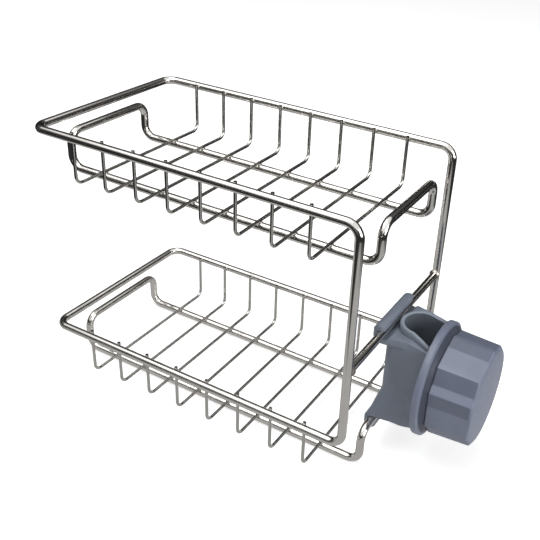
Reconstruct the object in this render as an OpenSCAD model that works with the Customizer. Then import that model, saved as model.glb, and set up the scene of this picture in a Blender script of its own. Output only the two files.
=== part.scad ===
// Two shelf wire rack that hangs on the neck of a kitchen faucet.
// Origin: axis of the faucet neck, at the height of the clamp knob.
// +X points from the neck to the knob, +Z up, and the shelves reach out along -X.

/* [Wire] */
// Diameter of the thick wire: frame, cross bar and support loops
wire_d = 4.5; // [4:0.1:5]
// Diameter of the thin shelf wires
thin_d = 1.8; // [1.6:0.1:2.2]
// Bend radius of the thick wire, to its centre line
bend_r = 7; // [6:0.5:8]
// Bend radius of the thin wire, to its centre line
thin_bend_r = 4.5; // [3:0.5:6]
// Depth that a weld sinks one wire into another
weld_bite = 0.1; // [0.05:0.01:0.15]

/* [Rack] */
// Width of the rack between the centre lines of its rails
rack_w = 110; // [104:1:124]
// Length of a shelf, from the uprights to the end bar
rack_l = 191; // [185:1:210]
// Height from the lower rim to the upper rim
rim_rise = 122.5; // [118:0.5:140]
// Height of the lower rim below the knob axis
lower_rim_drop = 17.7; // [16:0.1:19]
// Depth of a basket, from its rim to its floor wires
basket_depth = 27.3; // [26:0.1:30]
// Distance between the two floor rails of a support loop
floor_rail_gap = 61; // [56:1:66]
// Drop from the upper rim down to the raised end bars of its support loop
raised_drop = 10; // [8:0.1:12]

/* [Shelf wires] */
// Number of thin wires in each shelf
thin_count = 8; // [8:1:8]
// Distance from the uprights to the nearest thin wire of the upper shelf
upper_start = 25.8; // [22:0.1:30]
// Distance from the uprights to the nearest thin wire of the lower shelf
lower_start = 22.7; // [20:0.1:28]
// Spacing of the thin wires in the upper shelf
upper_pitch = 20.2; // [19:0.1:21]
// Spacing of the thin wires in the lower shelf
lower_pitch = 20.6; // [19:0.1:21]
// Length of a thin wire's tip above the centre of its rail
tip_rise = 2.6; // [1.5:0.1:3]

/* [Clamp] */
// Diameter of the faucet neck that the clamp holds with the knob at rest
neck_d = 19.2; // [18.6:0.1:19.2]
// Wall of the soft liner round the neck
liner_t = 2.2; // [2:0.1:2.4]
// Length that the liner stands proud of the body at each end
liner_proud = 4.7; // [4:0.1:5]
// Drop of the liner's edges from the neck to the knob's flange
liner_dip = 4; // [2:0.5:5]
// Angle by which each arm of the liner and its seat spreads towards the knob
arm_spread = 12; // [8:1:12]
// Distance from the neck's axis back to the uprights
upright_back = 15; // [14.9:0.1:15.4]
// Height of the clamp body between the two bars
body_h = 50.6; // [46:0.1:56]
// Rise of the side walls above that height
wall_rise = 1.5; // [0.5:0.1:2]
// Wall of the body beside the liner, at the flange
body_wall = 2.2; // [2:0.1:2.6]
// Width of the two hooks along the bars
hook_w = 38; // [36:1:40]
// Wall of the hooks
hook_t = 2.4; // [2:0.1:2.6]
// Drop of the top and bottom edges of the body where they enter the knob
edge_dip = 2.3; // [2:0.1:4]

/* [Knob] */
// Outer diameter of the knob's flange
flange_d = 62.6; // [61:0.2:66]
// Diameter of the knob's grip beside the flange
grip_d = 56; // [55:0.2:58]
// Diameter of the knob's grip at its outer end
grip_end_d = 54; // [53.6:0.2:55]
// Distance from the neck's axis to the flange
flange_x = 9.6; // [9.6:0.1:10]
// Thickness of the flange
flange_t = 3.6; // [3:0.2:4.2]
// Length of the threaded barrel inside the knob
barrel_l = 21.5; // [18:0.5:22]
// Length of the knob along its axis
knob_l = 31; // [30:0.5:34]
// Wall of the knob round its thread
knob_wall = 3.2; // [3:0.1:3.4]
// Number of times that the pattern of flats repeats round the grip
flat_groups = 5; // [4:1:6]
// Depth of the valleys between the flats
flat_depth = 0.9; // [0.5:0.1:1.1]
// Clearance between the threaded barrel and the knob
thread_gap = 0.35; // [0.3:0.05:0.5]

/* [Hidden] */
$fn = 64;

// Places of the thick wires
upright_x = -upright_back;
end_x = upright_x - rack_l;
rail_y = rack_w / 2;
lower_rim_z = -lower_rim_drop;
upper_rim_z = lower_rim_z + rim_rise;
floor_drop = basket_depth + thin_d / 2 + wire_d / 2 - weld_bite;
floor_rail_y = floor_rail_gap / 2;

// Places of the thin wires
thin_y = rail_y - wire_d / 2 - thin_d / 2 + weld_bite;

// Clamp body
neck_r = neck_d / 2;
liner_r = neck_r + liner_t;
liner_gap = 0.15;
liner_h = body_h + 2 * liner_proud;
seat_r = liner_r + liner_gap;
body_end_x = flange_x - 0.4;
liner_end_x = flange_x - 0.7;
body_y = arm_y(seat_r, body_end_x) + body_wall;
body_back = upright_x + 1;
body_corner_r = 6;
body_half = body_h / 2;
wall_half = body_half + wall_rise;
wall_step_x = 3;
hook_gap = 0.15;
hook_in_r = wire_d / 2 + hook_gap;
bar_z = body_half + hook_in_r;
hook_out_r = hook_in_r + hook_t;
plate_t = 2.6;
flare_rise = 17;
foot_end_x = 3;
flare_y = hook_w / 2;

// Threaded barrel inside the knob
knob_in_r = grip_end_d / 2 - flat_depth - knob_wall;
barrel_r = knob_in_r - thread_gap;
barrel_start = body_end_x - 0.8;
barrel_end = flange_x + barrel_l;
bore_floor_x = flange_x + knob_l - 4.6;
foot_l = 3.4;
dome_rise = 1.5;
// Edges of the flats in one group, as shares of the group: ridge, valley, ridge, valley
flat_edges = [0, 0.24, 0.39, 0.63];
flat_turn = 7.5;

// Pressure pad
pad_gap = 0.25;
pad_half_w = neck_r + 0.7;
pad_half_h = 17;
pad_x = neck_r - 2.6;
pad_t = 4.6;
pad_back = neck_r + pad_t;
stem_r = 5;
stem_gap = 0.08;
stem_end = bore_floor_x + 0.9;
boss_r = 9;
boss_x = pad_back + 3;
collar_r = 8;
collar_x = boss_x - 0.3;

// A unit vector along v
function unit(v) = v / norm(v);

// Half width at x of a channel of radius r, whose arms spread towards the knob
function arm_y(r, x) = (r + x * sin(arm_spread)) / cos(arm_spread);

// A straight wire from p to q
module straight(p, q, d) {
    v = q - p;
    translate(p)
        rotate([0, acos(v[2] / norm(v)), atan2(v[1], v[0])])
            cylinder(h = norm(v), d = d);
}

// A square bend at b, coming along u and leaving along w
module bend(b, u, w, r, d) {
    n = cross(u, w);
    c = b - u * r + w * r;
    multmatrix([
        [-w[0], u[0], n[0], c[0]],
        [-w[1], u[1], n[1], c[1]],
        [-w[2], u[2], n[2], c[2]],
        [0, 0, 0, 1]
    ])
        rotate_extrude(angle = 90)
            translate([r, 0])
                circle(d = d);
}

// A wire that runs along points with square bends, closed on itself or open
module bent_wire(points, r, d, closed) {
    n = len(points);
    last = closed ? n - 1 : n - 2;
    for (i = [0:last]) {
        p = points[i];
        q = points[(i + 1) % n];
        u = unit(q - p);
        first_cut = closed || i > 0 ? r : 0;
        last_cut = closed || i < last ? r : 0;
        straight(p + u * first_cut, q - u * last_cut, d);
        if (closed || i < last) {
            bend(q, u, unit(points[(i + 2) % n] - q), r, d);
        }
    }
}

// One closed loop: two rims, open at the uprights, joined by the uprights
module main_frame() {
    color("silver")
        bent_wire([
            [end_x, -rail_y, upper_rim_z],
            [upright_x, -rail_y, upper_rim_z],
            [upright_x, -rail_y, lower_rim_z],
            [end_x, -rail_y, lower_rim_z],
            [end_x, rail_y, lower_rim_z],
            [upright_x, rail_y, lower_rim_z],
            [upright_x, rail_y, upper_rim_z],
            [end_x, rail_y, upper_rim_z]
        ], bend_r, wire_d, true);
}

// Bar welded between the uprights, held by the upper hook
module cross_bar() {
    reach = rail_y - wire_d / 2 + weld_bite;
    color("silver")
        straight([upright_x, -reach, bar_z], [upright_x, reach, bar_z], wire_d);
}

// Closed loop under a shelf, with both ends raised as bars at height high
module support_loop(rim_z, high) {
    low = rim_z - floor_drop;
    y = floor_rail_y;
    color("silver")
        bent_wire([
            [end_x, -y, low],
            [upright_x, -y, low],
            [upright_x, -y, high],
            [upright_x, y, high],
            [upright_x, y, low],
            [end_x, y, low],
            [end_x, y, high],
            [end_x, -y, high]
        ], bend_r, wire_d, true);
}

// Thin wire across a shelf, both tips up on the inner side of the rails
module shelf_wire(x, rim_z) {
    top = rim_z + tip_rise;
    low = rim_z - basket_depth;
    color("gainsboro")
        bent_wire([
            [x, -thin_y, top],
            [x, -thin_y, low],
            [x, thin_y, low],
            [x, thin_y, top]
        ], thin_bend_r, thin_d, false);
}

// Thin wire number i of the upper or the lower shelf, counted from the end bar
module upper_wire(i) {
    shelf_wire(upright_x - upper_start - (thin_count - i) * upper_pitch, upper_rim_z);
}

module lower_wire(i) {
    shelf_wire(upright_x - lower_start - (thin_count - i) * lower_pitch, lower_rim_z);
}

// Rounded U with spreading arms: the room of the neck, grown to radius r
module channel(r, x_end, h) {
    back_x = -r * sin(arm_spread);
    back_y = r * cos(arm_spread);
    end_y = arm_y(r, x_end);
    cylinder(r = r, h = h, center = true);
    linear_extrude(height = h, center = true)
        polygon([
            [back_x, -back_y],
            [x_end, -end_y],
            [x_end, end_y],
            [back_x, back_y]
        ]);
}

// Walls of the body in plan, with round corners at the back
module body_plan() {
    translate([body_back + body_corner_r, -body_y])
        square([body_end_x - body_back - body_corner_r, 2 * body_y]);
    translate([body_back, -body_y + body_corner_r])
        square([2 * body_corner_r, 2 * (body_y - body_corner_r)]);
    for (side = [-1, 1]) {
        translate([body_back + body_corner_r, side * (body_y - body_corner_r)])
            circle(r = body_corner_r);
    }
}

// Side view of the walls: low beside the bars, dipping where they meet the knob
module body_side() {
    polygon([
        [upright_x - 2, -body_half],
        [upright_x + wall_step_x, -body_half],
        [upright_x + wall_step_x + wall_rise, -wall_half],
        [0, -wall_half],
        [body_end_x + 1, -wall_half + edge_dip],
        [body_end_x + 1, wall_half - edge_dip],
        [0, wall_half],
        [upright_x + wall_step_x + wall_rise, wall_half],
        [upright_x + wall_step_x, body_half],
        [upright_x - 2, body_half]
    ]);
}

// Plate at the top or bottom of the body that reaches out under its hook
module ledge_plan() {
    polygon([
        [upright_x, -flare_y],
        [body_back + 1, -flare_y],
        [0, -body_y],
        [0, body_y],
        [body_back + 1, flare_y],
        [upright_x, flare_y]
    ]);
}

// Hook that wraps the far side of a bar, open towards the knob
module hook() {
    translate([upright_x, 0, bar_z])
        rotate([90, 0, 0])
            difference() {
                cylinder(r = hook_out_r, h = hook_w, center = true);
                cylinder(r = hook_in_r, h = hook_w + 2, center = true);
                translate([0, -hook_in_r, -hook_w / 2 - 1])
                    cube([hook_out_r + 1, 2 * hook_in_r - 0.6, hook_w + 2]);
                translate([1.6, -hook_in_r, -hook_w / 2 - 1])
                    cube([hook_out_r + 1, 2 * hook_out_r, hook_w + 2]);
            }
}

// The foot in plan, as wide as its hook at the back and as the walls in front
module foot_plan() {
    polygon([
        [upright_x - hook_in_r, -flare_y],
        [body_back + 1.5, -flare_y],
        [foot_end_x, -body_y],
        [foot_end_x, body_y],
        [body_back + 1.5, flare_y],
        [upright_x - hook_in_r, flare_y]
    ]);
}

// Sloping foot that widens the walls to the lower hook
module lower_flare() {
    intersection() {
        translate([0, 0, -body_half])
            linear_extrude(height = flare_rise)
                foot_plan();
        rotate([90, 0, 0])
            linear_extrude(height = hook_w, center = true)
                polygon([
                    [upright_x - hook_in_r, -body_half],
                    [upright_x - hook_in_r, -body_half + plate_t],
                    [body_back, -body_half + flare_rise],
                    [foot_end_x, -body_half + flare_rise],
                    [foot_end_x, -body_half]
                ]);
        rotate([90, 0, 90])
            linear_extrude(height = 2 * body_h, center = true)
                polygon([
                    [-flare_y, -body_half],
                    [-flare_y, -body_half + plate_t],
                    [-body_y, -body_half + flare_rise],
                    [body_y, -body_half + flare_rise],
                    [flare_y, -body_half + plate_t],
                    [flare_y, -body_half]
                ]);
    }
}

// Split barrel, threaded on the outside, that the knob turns on
module barrel() {
    translate([barrel_start, 0, 0])
        rotate([0, 90, 0])
            cylinder(r = barrel_r, h = barrel_end - barrel_start);
}

module clamp_body() {
    color("lightslategray")
        difference() {
            union() {
                intersection() {
                    linear_extrude(height = 2 * wall_half, center = true)
                        body_plan();
                    rotate([90, 0, 0])
                        linear_extrude(height = hook_w, center = true)
                            body_side();
                }
                intersection() {
                    translate([0, 0, body_half - plate_t])
                        linear_extrude(height = plate_t + wall_rise)
                            ledge_plan();
                    rotate([90, 0, 0])
                        linear_extrude(height = hook_w + 2, center = true)
                            body_side();
                }
                lower_flare();
                barrel();
                hook();
                mirror([0, 0, 1])
                    hook();
            }
            channel(seat_r, body_end_x, 2 * body_h);
            translate([body_end_x - 0.1, -arm_y(seat_r, body_end_x), -body_h])
                cube([barrel_end, 2 * arm_y(seat_r, body_end_x), 2 * body_h]);
        }
}

// Side view of the liner, whose edges dip towards the knob
module liner_side() {
    half = liner_h / 2;
    polygon([
        [-liner_r - 1, -half],
        [-1, -half],
        [liner_end_x, -half + liner_dip],
        [liner_end_x, half - liner_dip],
        [-1, half],
        [-liner_r - 1, half]
    ]);
}

// Soft U shaped liner between the body and the neck
module liner() {
    color("lightsteelblue")
        intersection() {
            difference() {
                channel(liner_r, liner_end_x, liner_h);
                channel(neck_r, liner_end_x + 1, liner_h + 2);
            }
            rotate([90, 0, 0])
                linear_extrude(height = 4 * liner_r, center = true)
                    liner_side();
        }
}

// Pad that the knob presses on the neck, with the stem that the knob turns on
module pressure_pad() {
    color("dimgray")
        difference() {
            union() {
                translate([pad_x, -pad_half_w, -pad_half_h])
                    cube([pad_back - pad_x, 2 * pad_half_w, 2 * pad_half_h]);
                translate([pad_back - 1, 0, 0])
                    rotate([0, 90, 0])
                        cylinder(r = collar_r, h = collar_x - pad_back + 1);
                translate([pad_back, 0, 0])
                    rotate([0, 90, 0])
                        cylinder(r = stem_r, h = stem_end - pad_back);
            }
            cylinder(r = neck_r + pad_gap, h = body_h, center = true);
        }
}

// Outline of the knob, turned round its own axis
module knob_profile() {
    fr = flange_d / 2;
    gr = grip_d / 2;
    er = grip_end_d / 2;
    foot = flange_t + foot_l;
    polygon([
        [0, 0],
        [fr - 0.8, 0],
        [fr, 0.8],
        [fr, flange_t - 1.4],
        [fr - 0.6, flange_t - 0.5],
        [fr - 1.8, flange_t],
        [gr + 0.2, foot - 0.4],
        [gr, foot],
        [er, knob_l - dome_rise - 1.4],
        [er - 0.5, knob_l - dome_rise - 0.5],
        [er - 1.6, knob_l - dome_rise],
        [er * 0.6, knob_l - dome_rise * 0.3],
        [0, knob_l]
    ]);
}

// Cross section of the grip: flats that meet in ridges and valleys
module grip_section() {
    group = 360 / flat_groups;
    polygon([
        for (k = [0:flat_groups - 1])
            for (j = [0:len(flat_edges) - 1])
                let (
                    a = flat_turn + group * (k + flat_edges[j]),
                    r = grip_d / 2 - (j % 2) * flat_depth
                )
                    [r * cos(a), r * sin(a)]
    ]);
}

// Nut shaped knob with a flange, a grip with flats and a boss for the pad's stem
module knob() {
    grip_start = flange_t + foot_l / 2;
    taper_start = flange_t + foot_l;
    color("slategray")
        translate([flange_x, 0, 0])
            rotate([0, 90, 0])
                difference() {
                    intersection() {
                        rotate_extrude()
                            knob_profile();
                        union() {
                            cylinder(r = flange_d, h = grip_start);
                            linear_extrude(height = taper_start)
                                grip_section();
                            translate([0, 0, taper_start])
                                linear_extrude(height = knob_l - taper_start, scale = grip_end_d / grip_d)
                                    grip_section();
                        }
                    }
                    difference() {
                        translate([0, 0, -1])
                            cylinder(r = knob_in_r, h = bore_floor_x - flange_x + 1);
                        translate([0, 0, boss_x - flange_x])
                            cylinder(r = boss_r, h = knob_l);
                    }
                    translate([0, 0, boss_x - flange_x - 1])
                        cylinder(r = stem_r + stem_gap, h = stem_end + 0.3 - boss_x + 1);
                }
}

main_frame();
cross_bar();
support_loop(upper_rim_z, upper_rim_z - raised_drop);  // upper_support
support_loop(lower_rim_z, -bar_z);  // lower_support
upper_wire(1);  // upper_wire_1
upper_wire(2);  // upper_wire_2
upper_wire(3);  // upper_wire_3
upper_wire(4);  // upper_wire_4
upper_wire(5);  // upper_wire_5
upper_wire(6);  // upper_wire_6
upper_wire(7);  // upper_wire_7
upper_wire(8);  // upper_wire_8
lower_wire(1);  // lower_wire_1
lower_wire(2);  // lower_wire_2
lower_wire(3);  // lower_wire_3
lower_wire(4);  // lower_wire_4
lower_wire(5);  // lower_wire_5
lower_wire(6);  // lower_wire_6
lower_wire(7);  // lower_wire_7
lower_wire(8);  // lower_wire_8
clamp_body();
liner();
pressure_pad();
knob();
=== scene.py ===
"""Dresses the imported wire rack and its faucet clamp, in metres, in the frame of the CAD part."""

import logging
import math
from abc import ABC, abstractmethod
from collections.abc import Callable, Iterable, Iterator, Mapping, Sequence
from contextlib import contextmanager
from dataclasses import dataclass, field
from enum import Enum
from functools import reduce

import bmesh
import bpy
from mathutils import Matrix, Vector

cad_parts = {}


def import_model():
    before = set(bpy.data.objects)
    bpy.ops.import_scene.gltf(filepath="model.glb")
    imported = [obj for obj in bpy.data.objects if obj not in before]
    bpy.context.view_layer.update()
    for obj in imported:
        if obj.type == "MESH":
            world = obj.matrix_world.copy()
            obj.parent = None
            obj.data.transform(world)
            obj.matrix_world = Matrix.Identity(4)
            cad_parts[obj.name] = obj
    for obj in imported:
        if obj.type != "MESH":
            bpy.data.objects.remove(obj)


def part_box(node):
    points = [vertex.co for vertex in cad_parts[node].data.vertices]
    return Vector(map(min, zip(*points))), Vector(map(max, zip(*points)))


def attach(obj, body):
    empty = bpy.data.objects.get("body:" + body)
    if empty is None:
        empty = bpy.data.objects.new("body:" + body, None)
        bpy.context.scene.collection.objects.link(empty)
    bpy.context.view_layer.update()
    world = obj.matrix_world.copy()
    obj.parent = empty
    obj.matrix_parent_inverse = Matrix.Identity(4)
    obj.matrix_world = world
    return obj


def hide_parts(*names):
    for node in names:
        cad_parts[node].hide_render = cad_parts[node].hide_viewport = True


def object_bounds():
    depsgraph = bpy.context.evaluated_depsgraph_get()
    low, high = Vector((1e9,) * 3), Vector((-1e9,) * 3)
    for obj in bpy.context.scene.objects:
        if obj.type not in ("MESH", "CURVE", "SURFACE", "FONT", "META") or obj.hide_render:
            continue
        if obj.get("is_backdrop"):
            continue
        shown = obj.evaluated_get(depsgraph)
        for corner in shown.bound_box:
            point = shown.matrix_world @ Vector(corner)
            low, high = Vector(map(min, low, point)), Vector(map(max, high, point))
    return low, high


LOG = logging.getLogger("rack")
PHOTO_PIXELS = 540
MM = 0.001
SAME_POINT = 0.0000001
TOUCH = 0.000002
NOISE_LOW, NOISE_HIGH = 0.3, 0.7
FLAT_ANGLE = math.radians(1)
BEVEL_ANGLE = math.radians(28)
CUT_REACH = 60.0
SEARCH_FROM, SEARCH_STEPS = 5.0, 40
NEARLY_HALF, RIM_STEPS = 0.49, 5
QUARTERS = (0.25, 0.5, 0.75)

Point = tuple[float, float, float]
Plan = tuple[float, float]
Colour = tuple[float, float, float]
Socket = bpy.types.NodeSocket
Object = bpy.types.Object
Mesh = bpy.types.Mesh
Material = bpy.types.Material
Inputs = Mapping[int | str, object]


class Body(Enum):
    """The bodies that move apart from each other."""

    RACK = "rack"
    PAD = "pad"
    KNOB = "knob"


class Slot(Enum):
    """The record's material slots."""

    THICK_WIRE = "thick_wire"
    THIN_WIRE = "thin_wire"
    CLAMP = "clamp_plastic"
    KNOB = "knob_plastic"
    PAD = "pad_plastic"
    LINER = "liner_rubber"


# ---- node trees


def used(sockets: Iterable[Socket], name: str = "") -> Socket:
    """The first socket in use, or the first of that name."""
    return next(s for s in sockets if s.enabled and name in ("", s.name))


class Wiring:
    """Adds and joins the nodes of one tree."""

    def __init__(self, tree: bpy.types.NodeTree) -> None:
        """Keeps the tree and empties it."""
        self.tree = tree
        tree.nodes.clear()

    def add(self, kind: str, inputs: Inputs | None = None, **settings: object) -> bpy.types.Node:
        """Adds a node.

        Args:
            kind: The node's type, such as ShaderNodeTexNoise.
            inputs: A value or another node's output for each input, by name or number.
            settings: Properties to set on it.

        Returns:
            The new node.
        """
        node = self.tree.nodes.new(kind)
        for name, value in settings.items():
            setattr(node, name, value)
        for key, value in (inputs or {}).items():
            socket = node.inputs[key] if isinstance(key, int) else used(node.inputs, key)
            if isinstance(value, Socket):
                self.tree.links.new(value, socket)
            else:
                socket.default_value = value
        return node

    def out(
        self, kind: str, inputs: Inputs | None = None, output: str = "", **settings: object
    ) -> Socket:
        """Adds a node as add does, and gives its output of a name, or the first in use."""
        return used(self.add(kind, inputs, **settings).outputs, output)

    def calc(self, operation: str, *values: object) -> Socket:
        """Does a sum with numbers and sockets."""
        return self.out("ShaderNodeMath", dict(enumerate(values)), operation=operation)

    def most(self, values: Sequence[Socket]) -> Socket:
        """The largest of some values."""
        return reduce(lambda a, b: self.calc("MAXIMUM", a, b), values)

    def place(self) -> Socket:
        """The object coordinates."""
        return self.out("ShaderNodeTexCoord", output="Object")

    def attribute(self, name: str, output: str) -> Socket:
        """One output of a named attribute of the mesh."""
        return self.out("ShaderNodeAttribute", output=output, attribute_name=name)

    def ramp(self, value: Socket, start: Plan, end: Plan, **settings: object) -> Socket:
        """Maps a value, by what it is and what it becomes at the start and at the end."""
        ends = {"From Min": start[0], "To Min": start[1], "From Max": end[0], "To Max": end[1]}
        return self.out("ShaderNodeMapRange", {"Value": value, **ends}, **settings)

    def span(self, value: Socket, low: float, high: float) -> Socket:
        """Maps a value onto low to high, from about where most of a noise lies."""
        return self.ramp(value, (NOISE_LOW, low), (NOISE_HIGH, high))

    def noise(self, vector: Socket, scale: float, detail: float) -> Socket:
        """A noise value, by its scale per metre and its number of octaves."""
        return self.out("ShaderNodeTexNoise", {"Vector": vector, "Scale": scale, "Detail": detail})

    def blend(self, share: Socket, low: Colour, high: Colour) -> Socket:
        """Mixes two linear colours, by the share of the second."""
        inputs = {"Factor": share, "A": (*low, 1), "B": (*high, 1)}
        return self.out("ShaderNodeMix", inputs, data_type="RGBA")

    def bumps(self, height: Socket, depth: float) -> Socket:
        """A bumped normal, from a height and what a height of 1 stands for, in metres."""
        return self.out("ShaderNodeBump", {"Height": height, "Strength": 1.0, "Distance": depth})


def painted(name: str, surface: Callable[[Wiring], Socket]) -> Material:
    """Makes a material.

    Args:
        name: Its name.
        surface: Adds its nodes to a tree and gives the shader.

    Returns:
        The material.
    """
    made = bpy.data.materials.new(name)
    made.use_nodes = True
    pad = Wiring(made.node_tree)
    pad.add("ShaderNodeOutputMaterial", {"Surface": surface(pad)})
    return made


def lighter(colour: Colour, share: float) -> Colour:
    """A linear colour with every channel multiplied by a share."""
    return (colour[0] * share, colour[1] * share, colour[2] * share)


# ---- finishes


@dataclass(frozen=True)
class Finish(ABC):
    """A finish, built from nodes."""

    name: str
    colour: Colour
    roughness: float

    @abstractmethod
    def surface(self, pad: Wiring) -> Socket:
        """Adds the finish's nodes to a tree and gives its shader."""

    def material(self) -> Material:
        """Makes the finish's material."""
        return painted(self.name, self.surface)

    def rough(self, pad: Wiring, noise: Socket, low: float, high: float) -> Socket:
        """The roughness, which a noise value spreads between two shares of its mean."""
        return pad.span(noise, self.roughness * low, self.roughness * high)


@dataclass(frozen=True)
class DrawnSteel(Finish):
    """Polished stainless wire with fine drawing marks along it."""

    mark_depth: float = 0.000002
    mark_scale: float = 5200
    mark_squash: float = 0.015
    cloud_scale: float = 70
    cloud_shade: float = 0.9

    def surface(self, pad: Wiring) -> Socket:
        """Adds the steel's nodes: marks drawn out along the wire, and a faint cloud.

        Args:
            pad: The tree to add to.

        Returns:
            The shader.
        """
        section = pad.add("ShaderNodeSeparateXYZ", {0: pad.attribute("section", "Vector")})
        slow = pad.calc("MULTIPLY", pad.attribute("along", "Fac"), self.mark_squash)
        across = {axis: section.outputs[axis] for axis in ("X", "Y")}
        drawn = pad.out("ShaderNodeCombineXYZ", {**across, "Z": slow})
        marks = pad.noise(drawn, self.mark_scale, detail=3)
        cloud = pad.span(pad.noise(pad.place(), self.cloud_scale, detail=2), 0.0, 1.0)
        return pad.out("ShaderNodeBsdfPrincipled", {
            "Metallic": 1.0,
            "Base Color": pad.blend(cloud, lighter(self.colour, self.cloud_shade), self.colour),
            "Roughness": self.rough(pad, marks, low=0.6, high=1.5),
            "Normal": pad.bumps(marks, self.mark_depth),
        })


@dataclass(frozen=True)
class MeltedSteel(Finish):
    """Spot weld metal: rougher than the wire, with a faint straw tint."""

    tint: Colour = (0.30, 0.265, 0.22)
    grain_scale: float = 900
    grain_depth: float = 0.00006

    def surface(self, pad: Wiring) -> Socket:
        """Adds the weld's nodes: one grain for its tint, roughness and bumps.

        Args:
            pad: The tree to add to.

        Returns:
            The shader.
        """
        grain = pad.noise(pad.place(), self.grain_scale, detail=3)
        return pad.out("ShaderNodeBsdfPrincipled", {
            "Metallic": 1.0,
            "Base Color": pad.blend(pad.span(grain, 0.0, 1.0), self.colour, self.tint),
            "Roughness": self.rough(pad, grain, low=0.7, high=1.4),
            "Normal": pad.bumps(grain, self.grain_depth),
        })


@dataclass(frozen=True)
class MouldedPlastic(Finish):
    """Satin moulded plastic with a fine grain and faint flow clouds, and painted shade in its
    crevices.

    A share under 1 is what is left of the colour under the painted shade in a crevice, where the
    specular is lowered too. The piece then has a crevice attribute that says where the shade is
    painted.
    """

    grain_depth: float = 0.000012
    cloud_share: float = 0.08
    specular: float = 0.5
    # Painted shade: what is left of the colour, and of the specular, in a crevice.
    painted_shade_share: float = 1.0
    painted_shade_gloss: float = 0.3
    cloud_scale: float = 130
    cloud_top: float = 0.65
    speck_scale: float = 900
    speck_share: float = 0.35
    grain_scale: float = 3600

    def surface(self, pad: Wiring) -> Socket:
        """Adds the plastic's nodes: clouds and specks in its colour, a fine grain, and painted
        shade in crevices.

        Args:
            pad: The tree to add to.

        Returns:
            The shader.
        """
        place = pad.place()
        speck = pad.noise(place, self.speck_scale, detail=2)
        cloud = pad.span(pad.noise(place, self.cloud_scale, detail=3), 0.0, self.cloud_top)
        flow = pad.calc("MULTIPLY_ADD", speck, self.speck_share, cloud)
        dark, light = (lighter(self.colour, 1 + s * self.cloud_share) for s in (-1, 1))
        tint = pad.blend(flow, dark, light)
        shader = pad.add("ShaderNodeBsdfPrincipled", {
            "Base Color": tint,
            "Specular IOR Level": self.specular,
            "Roughness": self.rough(pad, speck, low=0.85, high=1.15),
            "Normal": pad.bumps(pad.noise(place, self.grain_scale, detail=2), self.grain_depth),
        })
        # Painted shade: the crevice attribute darkens the colour and lowers the specular there.
        if self.painted_shade_share < 1:
            deep = pad.attribute("crevice", "Fac")
            shade = {0: tint, "Scale": pad.span(deep, 1.0, self.painted_shade_share)}
            shaded = pad.out("ShaderNodeVectorMath", shade, operation="SCALE")
            gloss = pad.span(deep, self.specular, self.specular * self.painted_shade_gloss)
            pad.tree.links.new(shaded, shader.inputs["Base Color"])
            pad.tree.links.new(gloss, shader.inputs["Specular IOR Level"])
        return used(shader.outputs)


@dataclass(frozen=True)
class Finishes:
    """The materials of the whole object."""

    thick: Material
    thin: Material
    weld: Material
    clamp: Material
    knob: Material
    liner: Material
    pad: Material

    @classmethod
    def mixed(cls) -> "Finishes":
        """Makes the material of every finish.

        Returns:
            The materials.
        """
        kinds = {
            "thick": DrawnSteel("polished_thick_wire", (0.80, 0.775, 0.735), 0.09),
            "thin": DrawnSteel("polished_thin_wire", (0.62, 0.605, 0.575), 0.12),
            "weld": MeltedSteel("spot_weld", (0.46, 0.44, 0.42), 0.34),
            "clamp": MouldedPlastic("clamp_plastic", (0.162, 0.186, 0.233), 0.40),
            # The knob's finish paints shade in its groove and on some of its flats.
            "knob": MouldedPlastic(
                "knob_plastic", (0.159, 0.178, 0.244), 0.34, painted_shade_share=0.35
            ),
            # The liner's finish paints shade on its inside, in the seat.
            "liner": MouldedPlastic(
                "liner_rubber", (0.225, 0.258, 0.305), 0.58,
                grain_depth=0.00002, cloud_share=0.05, specular=0.35, painted_shade_share=0.55,
            ),
            "pad": MouldedPlastic("pad_plastic", (0.022, 0.026, 0.033), 0.5),
        }
        return cls(**{part: finish.material() for part, finish in kinds.items()})


# ---- mesh helpers


def clamped(value: float) -> float:
    """A value kept between 0 and 1."""
    return min(1.0, max(0.0, value))


def middle(node: str) -> Point:
    """The middle of a CAD node's box, in metres."""
    x, y, z = ((a + b) / 2 for a, b in zip(*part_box(node)))
    return (x, y, z)


def linked(name: str, data: bpy.types.ID) -> Object:
    """Puts a mesh, a lamp or a camera in the scene as an object at the origin.

    Args:
        name: The object's name.
        data: What it holds, such as a mesh in metres.

    Returns:
        The object.
    """
    made = bpy.data.objects.new(name, data)
    bpy.context.scene.collection.objects.link(made)
    return made


@contextmanager
def reworked(mesh: Mesh, source: Mesh | None = None) -> Iterator[bmesh.types.BMesh]:
    """Opens a mesh for work on its points and faces, and writes it back.

    Args:
        mesh: The mesh that is written.
        source: The mesh that is read, if it is another one.

    Yields:
        The open mesh.
    """
    work = bmesh.new()
    work.from_mesh(source or mesh)
    yield work
    work.to_mesh(mesh)
    work.free()


def flattened(work: bmesh.types.BMesh) -> None:
    """Joins the faces of an open mesh that lie in one plane."""
    bmesh.ops.dissolve_limit(work, angle_limit=FLAT_ANGLE, verts=work.verts[:], edges=work.edges[:])


def smoothed(made: Object, degrees: float = 35.0) -> Object:
    """Shades an object smooth, apart from its sharp edges.

    Args:
        made: The object.
        degrees: The angle from which an edge is sharp.

    Returns:
        The same object.
    """
    made.data.shade_smooth()
    made.data.set_sharp_from_angle(angle=math.radians(degrees))
    return made


def baked(made: Object) -> Object:
    """Turns an object's modifiers into a plain mesh.

    Args:
        made: The object.

    Returns:
        The same object, without modifiers.
    """
    bpy.context.view_layer.update()
    graph = bpy.context.evaluated_depsgraph_get()
    mesh = bpy.data.meshes.new_from_object(made.evaluated_get(graph))
    made.modifiers.clear()
    made.data = mesh
    return made


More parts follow.
